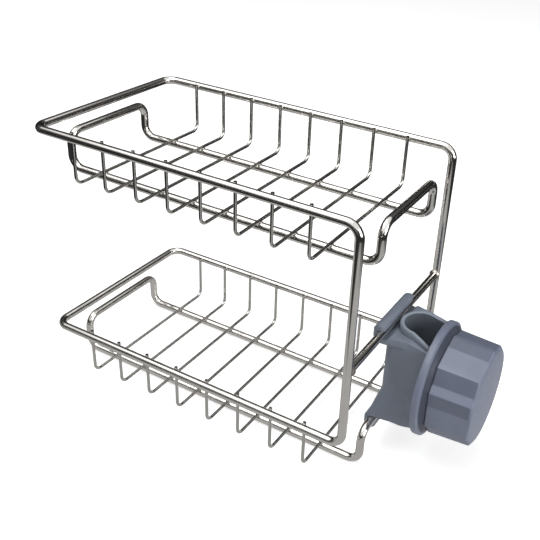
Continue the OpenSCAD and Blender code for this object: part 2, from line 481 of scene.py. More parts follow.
def softened(made: Object, width: float, segments: int = 3) -> Object:
    """Rounds an object's sharp edges, and clears what has no area.

    Args:
        made: The object.
        width: The width of the rounding, in millimetres.
        segments: The number of steps across it.

    Returns:
        The same object.
    """
    bevel = made.modifiers.new("round edges", "BEVEL")
    bevel.width = width * MM
    bevel.segments = segments
    bevel.limit_method = "ANGLE"
    bevel.angle_limit = BEVEL_ANGLE
    bevel.use_clamp_overlap = True
    with reworked(baked(made).data) as work:
        bmesh.ops.remove_doubles(work, verts=work.verts, dist=TOUCH)
        bmesh.ops.dissolve_degenerate(work, dist=TOUCH, edges=work.edges)
    return smoothed(made)


def carved(made: Object, cutter: Object) -> Object:
    """Cuts one solid out of another, and removes the cutter.

    Args:
        made: The solid that stays.
        cutter: The solid that is cut away.

    Returns:
        The carved solid.
    """
    cut = made.modifiers.new("cut", "BOOLEAN")
    cut.operation = "DIFFERENCE"
    cut.solver = "EXACT"
    cut.object = cutter
    baked(made)
    bpy.data.objects.remove(cutter)
    return made


def finished(made: Object, material: Material, body: Body, slot: Slot, *nodes: str) -> None:
    """Gives a piece its finish and its place on a body.

    Args:
        made: The piece.
        material: Its finish.
        body: The body that it moves with.
        slot: The record's slot of its finish; not used.
        nodes: The CAD nodes that it stands for.
    """
    made.data.materials.clear()
    made.data.materials.append(material)
    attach(made, body.value)
    if nodes:
        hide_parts(*nodes)
    LOG.info("%s: %d faces, on %s", made.name, len(made.data.polygons), body.value)


def paint_crevice_shade(made: Object, depth: Callable[[Point], float]) -> None:
    """Stores the painted shade of each point of a piece in its crevice attribute, for its finish.

    Args:
        made: The piece.
        depth: Gives the share of painted shade, between 0 and 1, at a spot in millimetres.
    """
    # The crevice attribute holds the painted shade.
    share = made.data.attributes.new("crevice", "FLOAT", "POINT")
    spots = [tuple(v / MM for v in point.co) for point in made.data.vertices]
    share.data.foreach_set("value", [depth(spot) for spot in spots])


def arc(radius: float, start: float, end: float, steps: int) -> list[Plan]:
    """Points round a circle's middle, from one direction to another in radians."""
    turns = [start + (end - start) * k / steps for k in range(steps + 1)]
    return [(radius * math.cos(turn), radius * math.sin(turn)) for turn in turns]


def ringed(name: str, rings: Sequence[Sequence[Point]]) -> Object:
    """A solid through closed rings of points, closed at both ends, with its faces outwards.

    Args:
        name: Its name.
        rings: Rings with the same number of points, in millimetres.

    Returns:
        The solid.
    """
    count, last = len(rings[0]), (len(rings) - 1) * len(rings[0])
    faces = [list(range(count)), list(range(last, last + count))]
    for first in range(0, last, count):
        for i in range(count):
            a, b = first + i, first + (i + 1) % count
            faces.append([a, b, b + count, a + count])
    mesh = bpy.data.meshes.new(name)
    mesh.from_pydata([[v * MM for v in point] for ring in rings for point in ring], [], faces)
    with reworked(mesh) as work:
        bmesh.ops.remove_doubles(work, verts=work.verts, dist=SAME_POINT)
        bmesh.ops.recalc_face_normals(work, faces=work.faces)
    return linked(name, mesh)


def prism(
    name: str,
    outline: Sequence[Plan],
    low: float = -CUT_REACH,
    high: float = CUT_REACH,
    upright: bool = True,
) -> Object:
    """A straight prism, or without its ends a cutter that reaches through everything.

    Args:
        name: Its name.
        outline: Its cross section, as pairs in millimetres.
        low: The start of the prism.
        high: The end of the prism.
        upright: Whether it stands along Z, with its section in X and Y, or lies along Y.

    Returns:
        The prism.
    """
    ends = [[(u, v, w) if upright else (u, w, v) for u, v in outline] for w in (low, high)]
    return ringed(name, ends)


def wall_ring(
    inner: Plan, outer: Plan, height: Callable[[float], float], round_r: float
) -> list[Point]:
    """One cross section of a standing wall with rounded rims.

    Args:
        inner: The wall's inner edge in plan.
        outer: Its outer edge in plan.
        height: Gives half of the wall's height at a place along X.
        round_r: The radius of the rims' rounding.

    Returns:
        The closed section.
    """
    dx, dy = outer[0] - inner[0], outer[1] - inner[1]
    width = math.hypot(dx, dy)
    r = min(round_r, width * NEARLY_HALF)
    ring: list[Point] = []
    for degrees, near, top in ((180, 1, 1), (90, 0, 1), (0, 0, -1), (270, 1, -1)):
        start = math.radians(degrees)
        for aside, up in arc(r, start, start - math.pi / 2, RIM_STEPS):
            across = (r if near else width - r) + aside
            x = inner[0] + dx * across / width
            ring.append((x, inner[1] + dy * across / width, top * (height(x) - r) + up))
    return ring


# ---- geometry trees


class Tree:
    """A Geometry Nodes tree with named inputs."""

    def __init__(self, name: str, inputs: Mapping[str, str]) -> None:
        """Makes an empty tree with its sockets.

        Args:
            name: The tree's name.
            inputs: The kind of each named input, such as Float.
        """
        self.group = bpy.data.node_groups.new(name, "GeometryNodeTree")
        face = self.group.interface
        for way in ("INPUT", "OUTPUT"):
            face.new_socket("Geometry", in_out=way, socket_type="NodeSocketGeometry")
        self.keys = {
            label: face.new_socket(
                label, in_out="INPUT", socket_type="NodeSocket" + kind
            ).identifier
            for label, kind in inputs.items()
        }
        self.pad = Wiring(self.group)
        self.start = self.pad.add("NodeGroupInput").outputs

    def close(self, geometry: Socket) -> None:
        """Ends the tree in real, smooth faces without double points, with a finish.

        Args:
            geometry: The socket that gives the shape.
        """
        pad = self.pad
        real = pad.out("GeometryNodeRealizeInstances", {"Geometry": geometry})
        whole = pad.out("GeometryNodeMergeByDistance", {"Geometry": real, "Distance": TOUCH})
        smooth = pad.out("GeometryNodeSetShadeSmooth", {"Geometry": whole})
        coat = {"Geometry": smooth, "Material": self.start["Finish"]}
        pad.add("NodeGroupOutput", {"Geometry": pad.out("GeometryNodeSetMaterial", coat)})

    def grown(
        self,
        name: str,
        points: Sequence[Point],
        edges: Sequence[tuple[int, int]],
        values: Mapping[str, object],
    ) -> Object:
        """Runs the tree on points and the lines between them.

        Args:
            name: The name of the result.
            points: The points, in metres.
            edges: The lines, as pairs of points.
            values: The value of each named input.

        Returns:
            The result, as a plain mesh object.
        """
        mesh = bpy.data.meshes.new(name)
        mesh.from_pydata(points, edges, [])
        made = linked(name, mesh)
        step = made.modifiers.new("grow", "NODES")
        step.node_group = self.group
        for label, value in values.items():
            step[self.keys[label]] = value
        return baked(made)


@dataclass(frozen=True)
class Gauge:
    """One kind of wire: its radii in metres, the sides round it, its finish and its slot."""

    radius: float
    bend: float
    sides: int
    material: Material
    slot: Slot


class WireTree(Tree):
    """A round wire along a line of points, with its corners bent round."""

    def __init__(self) -> None:
        """Builds the tree: a bent line, and a ring swept along it."""
        super().__init__("bent_wire", {
            "Wire radius": "Float", "Bend radius": "Float", "Bend steps": "Int",
            "Sides": "Int", "End share": "Float", "Finish": "Material",
        })
        pad, start = self.pad, self.start
        line = pad.out("GeometryNodeMeshToCurve", {"Mesh": start["Geometry"]})
        bends = {"Curve": line, "Count": start["Bend steps"], "Radius": start["Bend radius"]}
        ends = pad.out("GeometryNodeCurveEndpointSelection")
        taper = pad.out("GeometryNodeSetCurveRadius", {
            "Curve": pad.out("GeometryNodeFilletCurve", bends, mode="POLY"),
            "Selection": ends,
            "Radius": start["End share"],
        })
        sizes = {"Resolution": start["Sides"], "Radius": start["Wire radius"]}
        ring = pad.out("GeometryNodeCurvePrimitiveCircle", sizes, mode="RADIUS")
        length = pad.out("GeometryNodeSplineParameter", output="Length")
        spot = pad.out("GeometryNodeInputPosition")
        self.close(pad.out("GeometryNodeCurveToMesh", {
            "Curve": self.noted(taper, "along", "FLOAT", length),
            "Profile Curve": self.noted(ring, "section", "FLOAT_VECTOR", spot),
            "Fill Caps": True,
        }))

    def noted(self, curve: Socket, name: str, kind: str, value: Socket) -> Socket:
        """Stores a value on a curve's points.

        Args:
            curve: The socket that gives the curve.
            name: The name that the value gets.
            kind: Its type.
            value: The socket that gives it.

        Returns:
            The curve with the value.
        """
        inputs = {"Geometry": curve, "Name": name, "Value": value}
        return self.pad.out(
            "GeometryNodeStoreNamedAttribute", inputs, data_type=kind, domain="POINT"
        )


class BeadTree(Tree):
    """A small bead of weld metal on each point."""

    def __init__(self) -> None:
        """Builds the tree: a ball on each point, of an uneven size."""
        super().__init__("weld_beads", {
            "Half size": "Vector", "Unevenness": "Float", "Seed": "Int", "Finish": "Material",
        })
        pad, start = self.pad, self.start
        ball = pad.out("GeometryNodeMeshIcoSphere", {"Radius": 1.0, "Subdivisions": 2})
        uneven = pad.out("FunctionNodeRandomValue", {
            "Min": pad.calc("SUBTRACT", 1.0, start["Unevenness"]),
            "Max": pad.calc("ADD", 1.0, start["Unevenness"]),
            "Seed": start["Seed"],
        }, data_type="FLOAT")
        sizes = {0: start["Half size"], "Scale": uneven}
        self.close(pad.out("GeometryNodeInstanceOnPoints", {
            "Points": start["Geometry"],
            "Instance": ball,
            "Scale": pad.out("ShaderNodeVectorMath", sizes, operation="SCALE"),
        }))


# ---- the wire rack


@dataclass
class WireRack:
    """The two shelves: thick frame wires, thin shelf wires and their welds.

    A loop's route names each corner by its low (0) or high (1) side along X, Y and Z. Each
    step of the bar's fillet is a reach along the bar and a growth of its radius.
    """

    look: Finishes
    bend: float = 7.0
    bend_steps: int = 12
    end_share: float = 0.72
    sides: int = 32
    thin_bend: float = 4.5
    thin_sides: int = 20
    thin_count: int = 8
    tip_cut: float = 0.9
    tip_straight: float = 0.3
    frame_route: str = "001 101 100 000 010 110 111 011"
    support_route: str = "000 100 101 111 110 010 011 001"
    rim_bead: Point = (1.35, 0.85, 1.55)
    rim_bead_in: float = 0.05
    floor_bead: Point = (1.5, 1.6, 0.75)
    floor_bead_drop: float = 0.02
    unevenness: float = 0.12
    fillet: tuple[Plan, ...] = (
        (0.1, 0.9), (0.45, 0.75), (0.8, 0.45), (1.2, 0.18), (1.6, 0.03), (1.7, -0.4),
    )
    tree: WireTree = field(default_factory=WireTree)
    beads: BeadTree = field(default_factory=BeadTree)

    def radius(self) -> float:
        """The thick wire's radius, in metres."""
        low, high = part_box("cross_bar")
        return (high.z - low.z) / 2

    def thick(self) -> Gauge:
        """The kind of the thick wires."""
        bend = self.bend * MM
        return Gauge(self.radius(), bend, self.sides, self.look.thick, Slot.THICK_WIRE)

    def strung(self, node: str, points: Sequence[Point], closed: bool, gauge: Gauge) -> None:
        """Makes one wire in place of its CAD node.

        Args:
            node: The CAD node.
            points: The wire's corners, in metres.
            closed: Whether it closes on itself.
            gauge: Its kind.
        """
        count = len(points)
        edges = [(i, (i + 1) % count) for i in range(count if closed else count - 1)]
        made = self.tree.grown(node + "_polished", points, edges, {
            "Wire radius": gauge.radius,
            "Bend radius": gauge.bend,
            "Bend steps": self.bend_steps,
            "Sides": gauge.sides,
            "End share": 1.0 if closed else self.end_share,
            "Finish": gauge.material,
        })
        finished(smoothed(made, degrees=50), gauge.material, Body.RACK, gauge.slot, node)

    def loop(self, node: str, route: str) -> None:
        """A closed loop of thick wire, along corners of its own box.

        Args:
            node: Its CAD node.
            route: Its corners in turn.
        """
        gauge = self.thick()
        sides = [(low + gauge.radius, high - gauge.radius) for low, high in zip(*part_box(node))]
        corners = [
            tuple(ends[int(side)] for ends, side in zip(sides, corner))
            for corner in route.split()
        ]
        self.strung(node, corners, closed=True, gauge=gauge)

    def cross_bar(self) -> None:
        """The bar between the uprights."""
        x, _, z = middle("cross_bar")
        ends = [(x, end.y, z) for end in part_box("cross_bar")]
        self.strung("cross_bar", ends, closed=False, gauge=self.thick())

    def shelf_wire(self, node: str) -> None:
        """One thin wire with both tips up.

        Args:
            node: Its CAD node.
        """
        low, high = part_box(node)
        x, r = middle(node)[0], (high.x - low.x) / 2
        y0, y1, z0, z1 = low.y + r, high.y - r, low.z + r, high.z - self.tip_cut * MM
        tip = z1 - self.tip_straight * MM
        corners = [(x, y0, z1), (x, y0, tip), (x, y0, z0), (x, y1, z0), (x, y1, tip), (x, y1, z1)]
        bend = self.thin_bend * MM
        gauge = Gauge(r, bend, self.thin_sides, self.look.thin, Slot.THIN_WIRE)
        self.strung(node, corners, closed=False, gauge=gauge)

    def shelf_welds(self, shelf: str, seed: int) -> None:
        """The spot welds of one shelf, on its rim and on its floor.

        Args:
            shelf: upper or lower.
            seed: The seed of the beads' unevenness.
        """
        r, weld = self.radius(), self.look.weld
        frame_low, frame_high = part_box("main_frame")
        rim_y = frame_high.y - 2 * r - self.rim_bead_in * MM
        rim_z = frame_high.z - r if shelf == "upper" else frame_low.z + r
        floor_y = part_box(shelf + "_support")[1].y - r
        rim: list[Point] = []
        floor: list[Point] = []
        for i in range(1, self.thin_count + 1):
            node = f"{shelf}_wire_{i}"
            x, floor_z = middle(node)[0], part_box(node)[0].z - self.floor_bead_drop * MM
            rim += [(x, side * rim_y, rim_z) for side in (-1, 1)]
            floor += [(x, side * floor_y, floor_z) for side in (-1, 1)]
        sets = (("rim", rim, self.rim_bead), ("floor", floor, self.floor_bead))
        for step, (place, points, half) in enumerate(sets):
            made = self.beads.grown(f"{shelf}_{place}_welds", points, [], {
                "Half size": tuple(v * MM for v in half),
                "Unevenness": self.unevenness,
                "Seed": seed + step,
                "Finish": weld,
            })
            finished(made, weld, Body.RACK, Slot.THIN_WIRE)

    def bar_welds(self) -> None:
        """The round fillets where the cross bar meets the uprights."""
        r = self.radius() / MM
        x, _, z = (v / MM for v in middle("cross_bar"))
        front, rear = (end.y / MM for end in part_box("cross_bar"))
        for name, side, y in (("rear", -1, rear), ("front", 1, front)):
            rings = [
                [
                    (x + u, y + side * reach, z + v)
                    for u, v in arc(r + grow, 0, math.tau, self.sides)[:-1]
                ]
                for reach, grow in self.fillet
            ]
            made = smoothed(ringed(f"bar_weld_{name}", rings), degrees=50)
            finished(made, self.look.weld, Body.RACK, Slot.THICK_WIRE)

    def build(self) -> None:
        """Builds the whole rack."""
        self.loop("main_frame", self.frame_route)
        self.cross_bar()
        for shelf in ("upper", "lower"):
            self.loop(shelf + "_support", self.support_route)
            for i in range(1, self.thin_count + 1):
                self.shelf_wire(f"{shelf}_wire_{i}")
        self.shelf_welds("upper", seed=11)
        self.shelf_welds("lower", seed=23)
        self.bar_welds()


# ---- the clamp


@dataclass
class NeckChannel:
    """The U round the neck, whose arms spread towards the knob."""

    spread: float = 12.0
    arm_steps: int = 8
    arc_steps: int = 40

    def arm_y(self, radius: float, x: float) -> float:
        """Half of the width, at x, of a channel with this radius at its back."""
        a = math.radians(self.spread)
        return (radius + x * math.sin(a)) / math.cos(a)

    def line(self, radius: float, end_x: float) -> list[Plan]:
        """The channel in plan, from one arm's end to the other's.

        Args:
            radius: Its radius at the back.
            end_x: Where the arms end.

        Returns:
            The points.
        """
        a = math.radians(self.spread)
        start_x, steps = -radius * math.sin(a), self.arm_steps
        arm = [start_x + (end_x - start_x) * (1 - k / steps) for k in range(steps)]
        back = arc(radius, math.pi * 1.5 - a, math.pi / 2 + a, self.arc_steps)
        sides = [(x, self.arm_y(radius, x)) for x in arm]
        return [(x, -y) for x, y in sides] + back + sides[::-1]


@dataclass
class Clamp:
    """The moulded clamp body: walls, ledge, foot, two hooks and the threaded barrel."""

    look: Finishes
    channel: NeckChannel = field(default_factory=NeckChannel)
    seat_r: float = 12.3
    seat_slack: float = 0.02
    seat_end: float = 40.0
    wall_y: float = 16.37
    wall_round: float = 0.7
    corner_r: float = 6.0
    back_gap: float = 1.0
    end_x: float = 9.2
    half_h: float = 25.3
    rise: float = 1.5
    step_x: float = 3.0
    dip: float = 2.15
    dip_power: float = 1.2
    plate_t: float = 2.6
    ledge_lift: float = 0.04
    ledge_start: float = -0.2
    ledge_flat: float = 1.0
    ledge_end: float = 0.5
    ledge_bite: float = 0.3
    ledge_round: float = 0.45
    step_reach: float = 6.0
    step_over: float = 3.0
    flare_y: float = 19.0
    flare_rise: float = 17.0
    foot_flat: float = 1.5
    foot_end: float = 3.0
    foot_bite: float = 0.1
    foot_round: float = 0.6
    hook_in_r: float = 2.4
    hook_out_r: float = 4.8
    hook_corner: float = 3.4
    hook_tip: float = 1.6
    hook_under: float = 272.0
    hook_end_r: float = 2.0
    hook_round: float = 0.7
    hook_steps: int = 40
    barrel_r: float = 22.5
    barrel_bite: float = 0.8
    barrel_end: float = 31.1
    barrel_sides: int = 32
    barrel_steps: int = 96
    thread_start: float = 0.6
    thread_depth: float = 1.1
    thread_crest: float = 2.2
    thread_flank: float = 7.0
    thread_fade: float = 1.2
    thread_rest: float = 0.2
    lead: float = 3.0

    def upright_x(self) -> float:
        """The plane of the uprights, in millimetres."""
        return middle("cross_bar")[0] / MM

    def back_x(self) -> float:
        """The back face of the walls, in millimetres."""
        return self.upright_x() + self.back_gap

    def done(self, made: Object) -> None:
        """Finishes one piece of the body."""
        finished(made, self.look.clamp, Body.RACK, Slot.CLAMP, "clamp_body")

    def half_height(self, x: float) -> float:
        """Half of the walls' height at x: low beside the bars, and falling towards the knob."""
        step = self.rise * clamped((x - self.upright_x() - self.step_x) / self.rise)
        return self.half_h + step - self.dip * (max(0.0, x) / self.end_x) ** self.dip_power

    def outer_plan(self, turn: float) -> Plan:
        """The outside of the walls, seen from the neck's axis.

        Args:
            turn: The direction, in radians.

        Returns:
            The point on the rounded outline.
        """
        near, far = SEARCH_FROM, CUT_REACH
        for _ in range(SEARCH_STEPS):
            reach = (near + far) / 2
            dx = max(0.0, self.back_x() + self.corner_r - reach * math.cos(turn))
            dy = max(0.0, abs(reach * math.sin(turn)) - (self.wall_y - self.corner_r))
            if math.hypot(dx, dy) > self.corner_r:
                far = reach
            else:
                near = reach
        return (near * math.cos(turn), near * math.sin(turn))

    def walls(self) -> None:
        """The U shaped walls with rounded rims."""
        inner = self.channel.line(self.seat_r, self.end_x)
        steps = self.channel.arm_steps
        bend_x, bend_y = inner[steps]
        edge = self.outer_plan(math.atan2(bend_y, bend_x))[0]
        rings: list[list[Point]] = []
        for k, (x, y) in enumerate(inner):
            if steps <= k < len(inner) - steps:
                outer = self.outer_plan(math.atan2(y, x))
            else:
                share = (self.end_x - x) / (self.end_x - bend_x)
                outer = (self.end_x + share * (edge - self.end_x), math.copysign(self.wall_y, y))
            rings.append(wall_ring((x, y), outer, self.half_height, self.wall_round))
        self.done(smoothed(ringed("clamp_walls", rings), degrees=40))

    def seat_cut(self, made: Object) -> Object:
        """Clears the neck's seat from a piece."""
        outline = self.channel.line(self.seat_r - self.seat_slack, self.seat_end)
        return carved(made, prism("seat_cutter", outline))

    def ledge(self) -> None:
        """The plate at the top that reaches out under the upper hook."""
        up, back = self.upright_x(), self.back_x()
        side = [
            (up + self.ledge_start, self.flare_y), (back + self.ledge_flat, self.flare_y),
            (self.ledge_end, self.wall_y - self.ledge_bite),
        ]
        base = self.half_h + self.ledge_lift
        low, high = base - self.plate_t, base + self.rise
        outline = [(x, -y) for x, y in side] + side[::-1]
        made = self.seat_cut(prism("clamp_ledge", outline, low, high))
        away, over = up - self.step_reach, high + self.step_over
        foot_x, head_x = up + self.step_x, up + self.step_x + self.rise
        step = [(away, base), (foot_x, base), (head_x, high), (head_x, over), (away, over)]
        carved(made, prism("step_cutter", step, upright=False))
        self.done(softened(made, self.ledge_round))

    def foot(self) -> None:
        """The sloping foot that widens the walls to the lower hook."""
        up, back, end = self.upright_x(), self.back_x(), self.foot_end
        low, round_in = -self.half_h, self.corner_r * (1 - math.sqrt(0.5))
        wall = self.wall_y - self.foot_bite
        side: list[Point] = []
        for z in (low, low + self.plate_t):
            side += [(x, self.flare_y, z) for x in (up - self.hook_in_r, back + self.foot_flat)]
            side.append((end, wall, z))
        top = [
            (back, self.wall_y - self.corner_r), (back + round_in, self.wall_y - round_in),
            (back + self.corner_r, self.wall_y - self.foot_bite / 2), (end, wall),
        ]
        side += [(x, y, low + self.flare_rise) for x, y in top]
        mesh = bpy.data.meshes.new("clamp_foot")
        with reworked(mesh) as work:
            for x, y, z in [(x, -y, z) for x, y, z in side] + side:
                work.verts.new((x * MM, y * MM, z * MM))
            bmesh.ops.convex_hull(work, input=work.verts)
            flattened(work)
            bmesh.ops.recalc_face_normals(work, faces=work.faces)
        self.done(softened(self.seat_cut(linked("clamp_foot", mesh)), self.foot_round))

    def hook(self, name: str, side: int) -> None:
        """A strap that wraps the far side of a bar, open towards the knob.

        Args:
            name: The piece's name.
            side: 1 for the upper hook, -1 for the lower one.
        """
        tip, steps, under = self.hook_tip, self.hook_steps, math.radians(self.hook_under)
        outline = [(tip, self.hook_out_r), *self.hook_back()]
        outline += arc(self.hook_out_r, math.pi, under, steps)[1:]
        outline += arc(self.hook_in_r, under, math.acos(tip / self.hook_in_r), steps)
        up, bar_z = self.upright_x(), middle("cross_bar")[2] / MM
        placed = [(up + u, side * (bar_z + v)) for u, v in outline]
        made = prism(name, placed, -self.flare_y, self.flare_y, upright=False)
        for near, into_x in ((-self.hook_out_r, 1), (tip, -1)):
            for into_y in (-1, 1):
                corner = self.end_corner(up + near, into_x, into_y)
                carved(made, prism("corner_cutter", corner))
        self.done(softened(made, self.hook_round, segments=4))

    def hook_back(self) -> list[Plan]:
        """The hook's rounded outer corner, from its flat top to its straight back.

        Returns:
            The points.
        """
        inset = self.hook_out_r - self.hook_corner
        corner = arc(self.hook_corner, math.pi / 2, math.pi, self.hook_steps)
        back = [(-self.hook_out_r, inset / 2), (-self.hook_out_r, 0.0)]
        return [(u - inset, v + inset) for u, v in corner] + back

    def end_corner(self, x: float, into_x: int, into_y: int) -> list[Plan]:
        """What is cut off a hook's end to round it, seen from above.

        Args:
            x: The end's edge along X.
            into_x: 1 or -1, from that edge into the hook.
            into_y: 1 or -1, from the hook's end to its middle.

        Returns:
            The outline.
        """
        r, y = self.hook_end_r, -into_y * self.flare_y
        bow = [(r - u, r - v) for u, v in arc(r, 0, math.pi / 2, 8)]
        corner = [(-1, -1), (-1, r), *bow, (r, -1)]
        return [(x + into_x * u, y + into_y * v) for u, v in corner]

    def barrel(self) -> None:
        """The split, threaded barrel that the knob turns on."""
        chord = self.channel.arm_y(self.seat_r, self.end_x)
        half = math.acos(chord / self.barrel_r)
        start = self.end_x - self.barrel_bite
        turns = [-half + 2 * half * j / self.barrel_sides for j in range(self.barrel_sides + 1)]
        for name, side, offset in (("front", -1, math.pi), ("rear", 1, 0)):
            rings: list[list[Point]] = []
            for k in range(self.barrel_steps + 1):
                x = start + (self.barrel_end - start) * k / self.barrel_steps
                radii = [self.thread_radius(x, turn + offset) for turn in turns]
                rings.append([
                    (x, side * max(chord, r * math.cos(turn)), r * math.sin(turn))
                    for r, turn in zip(radii, turns)
                ])
            self.done(smoothed(ringed(f"threaded_barrel_{name}", rings), degrees=30))

    def thread_radius(self, x: float, turn: float) -> float:
        """The radius of the threaded surface.

        Args:
            x: The place along the barrel.
            turn: The direction round it, in radians.

        Returns:
            The radius, between the thread's root and its crest.
        """
        if x < self.end_x + self.thread_start:
            return self.barrel_r
        phase = (x / self.lead - turn / math.tau) % 1.0
        rise = clamped(self.thread_crest - abs(phase - 0.5) * self.thread_flank)
        fade = clamped((self.barrel_end - self.thread_rest - x) / self.thread_fade)
        return self.barrel_r - self.thread_depth * (1 - rise * fade)

    def build(self) -> None:
        """Builds the whole clamp body."""
        self.walls()
        self.ledge()
        self.foot()
        self.hook("upper_hook", 1)
        self.hook("lower_hook", -1)
        self.barrel()


@dataclass
class Liner:
    """The soft U shaped liner between the body and the neck."""

    look: Finishes
    channel: NeckChannel = field(default_factory=NeckChannel)
    inner_r: float = 9.6
    outer_r: float = 11.75
    end_x: float = 8.9
    half_h: float = 30.0
    dip: float = 4.0
    dip_power: float = 1.15
    rim_round: float = 0.75
    # Painted shade inside the seat: the share of the wall's thickness from its inner face, and the
    # rim band left without it.
    deep_share: float = 0.2
    unshaded_rim: float = 0.5

    def half_height(self, x: float) -> float:
        """Half of the liner's height, falling towards the knob."""
        return self.half_h - self.dip * max(0.0, (x + 1) / (self.end_x + 1)) ** self.dip_power

    def depth(self, spot: Point) -> float:
        """The painted shade at a point of the liner: 1 on its inner face below the rim, and 0 on
        the rim and outside.

        Args:
            spot: The point, in millimetres.

        Returns:
            The share.
        """
        x, y, z = spot
        arm, back = abs(y) - self.channel.arm_y(self.inner_r, x), math.hypot(x, y) - self.inner_r
        out = back if x < 0 else arm
        inside = out < (self.outer_r - self.inner_r) * self.deep_share
        return 1.0 if inside and abs(z) < self.half_height(x) - self.unshaded_rim else 0.0

    def build(self) -> None:
        """Builds the liner."""
        lines = (self.channel.line(r, self.end_x) for r in (self.inner_r, self.outer_r))
        rings = [wall_ring(p, q, self.half_height, self.rim_round) for p, q in zip(*lines)]
        made = ringed("liner_soft", rings)
        # Paints shade on the liner's inside, in the seat.
        paint_crevice_shade(made, self.depth)
        finished(smoothed(made, degrees=50), self.look.liner, Body.RACK, Slot.LINER, "liner")


@dataclass
class PressurePad:
    """The pad that the knob presses on the neck."""

    look: Finishes
    edge: float = 0.5

    def build(self) -> None:
        """Softens a copy of the CAD pad."""
        mesh = bpy.data.meshes.new("pressure_pad_moulded")
        with reworked(mesh, bpy.data.objects["pressure_pad"].data) as work:
            bmesh.ops.remove_doubles(work, verts=work.verts, dist=TOUCH)
            flattened(work)
        made = softened(linked("pressure_pad_moulded", mesh), self.edge)
        finished(made, self.look.pad, Body.PAD, Slot.PAD, "pressure_pad")


# ---- the knob


